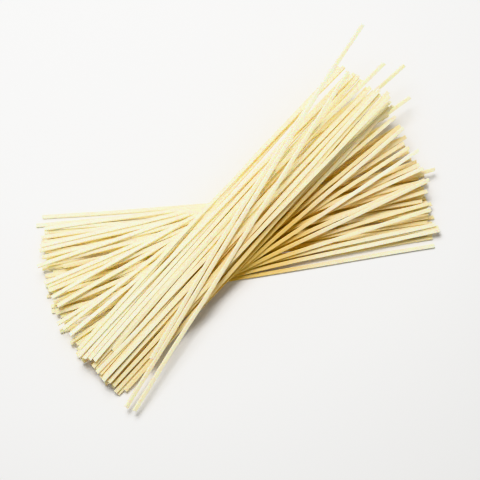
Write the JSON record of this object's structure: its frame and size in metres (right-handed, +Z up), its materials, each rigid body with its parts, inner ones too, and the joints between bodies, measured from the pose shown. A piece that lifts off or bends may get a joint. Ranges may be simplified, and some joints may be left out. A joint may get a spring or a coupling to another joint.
{
  "type": "bundle of dried spaghetti",
  "caption": "Loose hourglass bundle of straight, pale cream dried pasta strands, pinched at the waist and fanned out at both ends, lying on its side.",
  "frame": {"origin": "centre of the bundle's box, on the surface that the lowest layer lies on", "axes": "+X along the lowest layer, to the right in the picture and the longest extent; +Y away from the viewer, up in the picture; +Z up, the shortest extent"},
  "size_m": [0.263, 0.244, 0.0442],
  "materials": {
    "dried_pasta": "dry, satin, slightly translucent pale cream pasta with fine lengthwise streaks and floury specks"
  },
  "bodies": {
    "root": {"spaghetti_bundle": "dried_pasta"}
  },
  "joints": []
}
